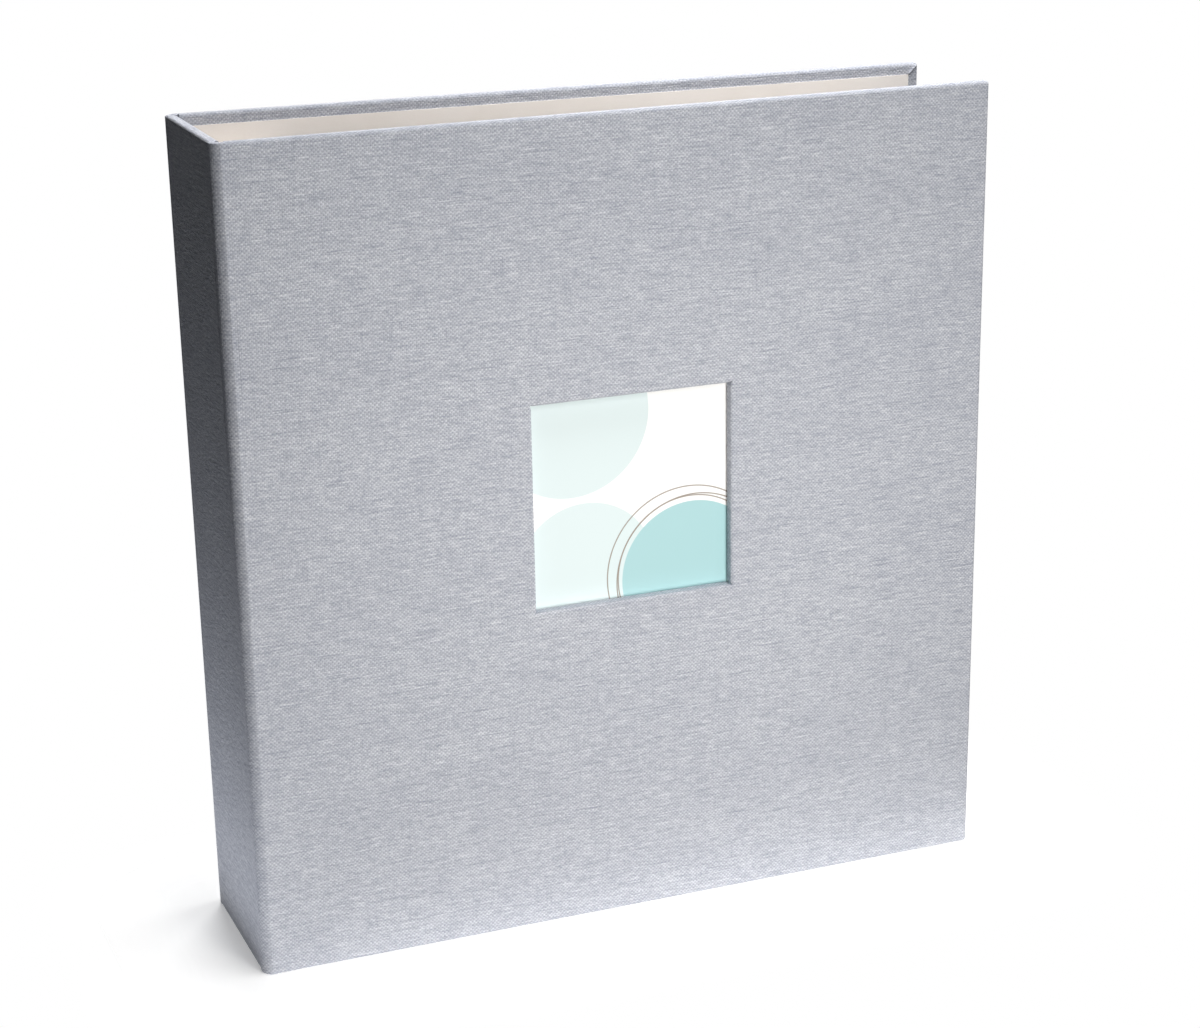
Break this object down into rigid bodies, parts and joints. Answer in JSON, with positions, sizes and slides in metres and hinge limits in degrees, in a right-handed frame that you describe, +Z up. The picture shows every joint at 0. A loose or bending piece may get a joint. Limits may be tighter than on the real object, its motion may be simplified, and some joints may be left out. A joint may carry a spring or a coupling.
{
  "type": "scrapbook album",
  "caption": "Cloth-covered ring-bound scrapbook album with a square title window, a slide-in title card, a lever-opened ring metal and clear page sleeves.",
  "frame": {"origin": "middle of the footprint, on the surface the album stands on", "axes": "+Z up along the spine, +X from the spine to the fore-edge, front cover facing -Y"},
  "size_m": [0.285, 0.0683, 0.298],
  "materials": {
    "book_cloth": "light blue-grey woven book cloth, fine plain weave with slubs, matt",
    "binders_board": "grey-brown pressed binder's board",
    "endpaper": "cream uncoated endpaper, smooth and matt",
    "pocket_paper": "cream uncoated card, matt",
    "title_card": "smooth white card with plain pale aqua discs and thin plain rings",
    "nickel_plate": "nickel-plated pressed steel, bright with faint drawing lines",
    "nickel_wire": "nickel-plated steel wire and pressings, bright",
    "sleeve_film": "clear polypropylene film, glossy, with matt welded edges",
    "page_paper": "heavy off-white page card, matt"
  },
  "bodies": {
    "spine": {"spine_board": "binders_board", "spine_infill": "binders_board", "spine_cloth": "book_cloth", "spine_lining": "book_cloth", "front_hinge_cloth": "book_cloth", "back_hinge_cloth": "book_cloth"},
    "front_cover": {"front_board": "binders_board", "front_infill": "binders_board", "front_cloth": "book_cloth", "window_cloth": "book_cloth", "front_endpaper": "endpaper", "card_pocket": "pocket_paper"},
    "title_card": {"title_card": "title_card"},
    "back_cover": {"back_board": "binders_board", "back_infill": "binders_board", "back_cloth": "book_cloth", "back_endpaper": "endpaper", "ring_cover_plate": "nickel_plate", "plate_rivets": "nickel_wire", "lever_pins": "nickel_wire", "page_binding_strips": "sleeve_film"},
    "post_rail": {"post_rail": "nickel_wire", "ring_post_1": "nickel_wire", "ring_post_2": "nickel_wire", "ring_post_3": "nickel_wire"},
    "arch_rail": {"arch_rail": "nickel_wire", "ring_arch_1": "nickel_wire", "ring_arch_2": "nickel_wire", "ring_arch_3": "nickel_wire"},
    "top_lever": {"top_lever": "nickel_wire"},
    "bottom_lever": {"bottom_lever": "nickel_wire"},
    "page_1": {"page_sleeve_1": "sleeve_film", "page_card_1": "page_paper"},
    "page_2": {"page_sleeve_2": "sleeve_film", "page_card_2": "page_paper"},
    "page_3": {"page_sleeve_3": "sleeve_film", "page_card_3": "page_paper"},
    "page_4": {"page_sleeve_4": "sleeve_film", "page_card_4": "page_paper"}
  },
  "joints": [
    {"name": "front_cover_hinge", "type": "hinge", "parent": "spine", "child": "front_cover", "pos_m": [-0.1404, -0.03215, 0.149], "axis": [0, 0, -1], "range_deg": [0, 180], "deforming": ["front_hinge_cloth"]},
    {"name": "back_cover_hinge", "type": "hinge", "parent": "spine", "child": "back_cover", "pos_m": [-0.1404, 0.03215, 0.149], "axis": [0, 0, 1], "range_deg": [0, 180], "deforming": ["back_hinge_cloth"]},
    {"name": "title_card_slide", "type": "slide", "parent": "front_cover", "child": "title_card", "axis": [0, 0, 1], "range_m": [0, 0.09]},
    {"name": "ring_open", "type": "hinge", "parent": "back_cover", "child": "post_rail", "pos_m": [-0.09449, 0.0264, 0.149], "axis": [0, 0, 1], "range_deg": [0, 9]},
    {"name": "arch_rail_open", "type": "hinge", "parent": "back_cover", "child": "arch_rail", "pos_m": [-0.13086, 0.02786, 0.149], "axis": [0, 0, -1], "range_deg": [0, 9.2]},
    {"name": "top_lever_press", "type": "hinge", "parent": "back_cover", "child": "top_lever", "pos_m": [-0.11282, 0.02354, 0.269], "axis": [-0.9992, 0.0401, 0], "range_deg": [0, 30.2]},
    {"name": "bottom_lever_press", "type": "hinge", "parent": "back_cover", "child": "bottom_lever", "pos_m": [-0.11282, 0.02354, 0.029], "axis": [0.9992, -0.0401, 0], "range_deg": [0, 30.2]},
    {"name": "page_1_turn", "type": "hinge", "parent": "back_cover", "child": "page_1", "pos_m": [-0.08411, 0.01593, 0.147], "axis": [0, 0, -1], "range_deg": [0, 13]},
    {"name": "page_2_turn", "type": "hinge", "parent": "back_cover", "child": "page_2", "pos_m": [-0.08416, 0.01453, 0.147], "axis": [0, 0, -1], "range_deg": [0, 32.8]},
    {"name": "page_3_turn", "type": "hinge", "parent": "back_cover", "child": "page_3", "pos_m": [-0.08422, 0.01313, 0.147], "axis": [0, 0, -1], "range_deg": [0, 54.4]},
    {"name": "page_4_turn", "type": "hinge", "parent": "back_cover", "child": "page_4", "pos_m": [-0.08427, 0.01173, 0.147], "axis": [0, 0, -1], "range_deg": [0, 81.4]}
  ],
  "couplings": [
    {"joint": "arch_rail_open", "follows": "ring_open", "ratio": 1},
    {"joint": "top_lever_press", "follows": "ring_open", "ratio": 3.3},
    {"joint": "bottom_lever_press", "follows": "ring_open", "ratio": 3.3},
    {"joint": "page_1_turn", "follows": "front_cover_hinge", "ratio": 0.07},
    {"joint": "page_2_turn", "follows": "front_cover_hinge", "ratio": 0.18},
    {"joint": "page_3_turn", "follows": "front_cover_hinge", "ratio": 0.3},
    {"joint": "page_4_turn", "follows": "front_cover_hinge", "ratio": 0.45}
  ]
}
